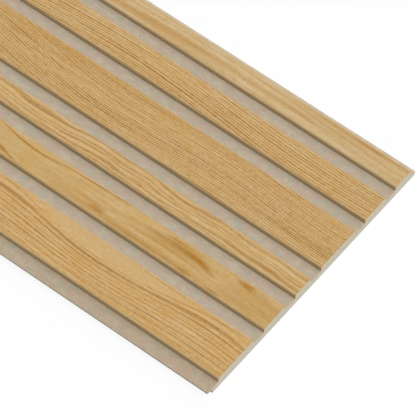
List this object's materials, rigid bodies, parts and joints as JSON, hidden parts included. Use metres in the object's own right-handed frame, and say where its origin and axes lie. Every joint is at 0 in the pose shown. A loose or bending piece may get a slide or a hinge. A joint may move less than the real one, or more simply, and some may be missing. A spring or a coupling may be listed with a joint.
{
  "type": "acoustic slat panel",
  "caption": "Long flat wall panel with raised oak-look slats of mixed widths on a felt-look ground, and lapped long edges that join it to the next panel.",
  "frame": {"origin": "centre of the flat back, under the middle of the bounding box", "axes": "+X along the length, +Y across the width towards the tongue edge, +Z out of the back towards the slats"},
  "size_m": [2.7, 0.2452, 0.011],
  "materials": {
    "slat_panel": "satin oak-look film on the slats, matt felt-look film in the grooves, pale foamed core at the cut ends and the back"
  },
  "bodies": {
    "root": {"slat_panel": "slat_panel"}
  },
  "joints": []
}
